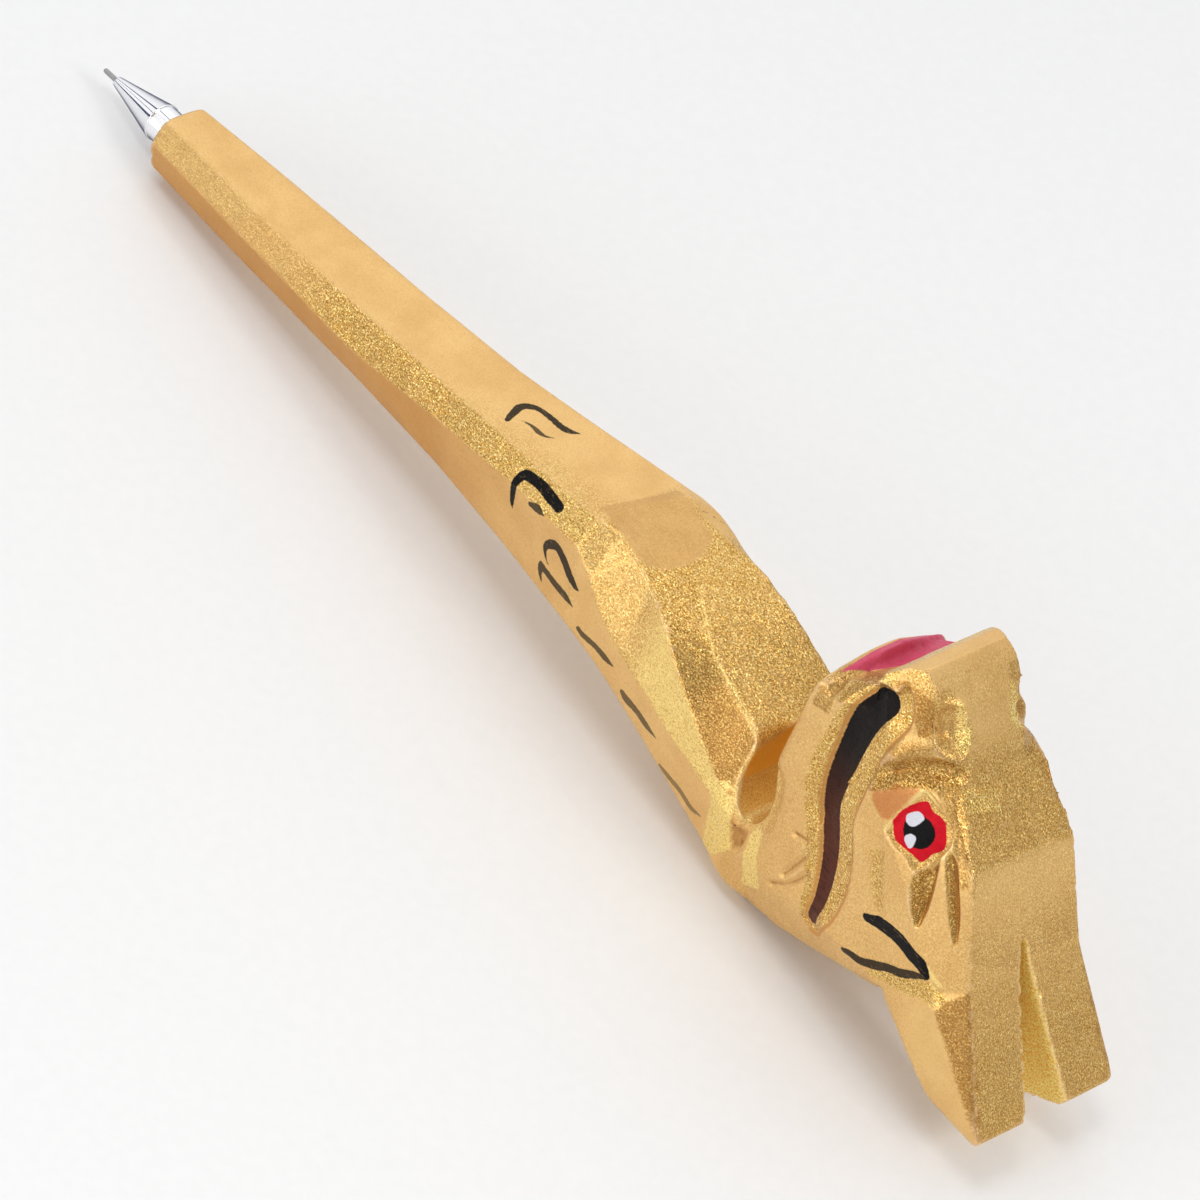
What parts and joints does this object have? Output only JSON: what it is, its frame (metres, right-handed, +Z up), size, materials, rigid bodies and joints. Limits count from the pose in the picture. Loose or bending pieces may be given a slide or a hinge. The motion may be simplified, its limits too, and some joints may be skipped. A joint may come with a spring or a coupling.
{
  "type": "carved wooden pen",
  "caption": "Hand-whittled wooden pen whose octagonal shaft bends into a gold-painted horned dragon head, with a push-in needle-point refill in a drilled bore.",
  "frame": {"origin": "bottom centre of the box round the pen as it lies on its back", "axes": "+X from the writing tip towards the dragon head, +Y to the dragon's right, +Z up, the way the dragon looks"},
  "size_m": [0.1756, 0.0206, 0.0477],
  "materials": {
    "gold_painted_wood": "brushed metallic gold paint over whittled wood, with painted black, red, pink and white marks",
    "plated_cone": "bright plating",
    "needle_steel": "drawn stainless tube",
    "ball_carbide": "ground carbide",
    "plug_plastic": "moulded natural plastic",
    "tube_plastic": "clear extruded plastic",
    "gel_ink": "wet black ink",
    "follower_grease": "translucent grease"
  },
  "bodies": {
    "body": {"carved_body": "gold_painted_wood"},
    "refill": {"nose_cone": "plated_cone", "needle_tube": "needle_steel", "refill_plug": "plug_plastic", "ink_tube": "tube_plastic", "ink_column": "gel_ink"},
    "ball": {"writing_ball": "ball_carbide"},
    "follower": {"grease_follower": "follower_grease"}
  },
  "joints": [
    {"name": "refill_slide", "type": "slide", "parent": "body", "child": "refill", "axis": [-0.9898, 0, -0.1422], "range_m": [0, 0.09]},
    {"name": "ball_roll", "type": "hinge", "parent": "refill", "child": "ball", "pos_m": [-0.0875, 0, 0.00239], "axis": [0, 1, 0], "continuous": true},
    {"name": "follower_slide", "type": "slide", "parent": "refill", "child": "follower", "axis": [-0.9898, 0, -0.1422], "range_m": [0, 0.056], "deforming": ["ink_column"]}
  ]
}
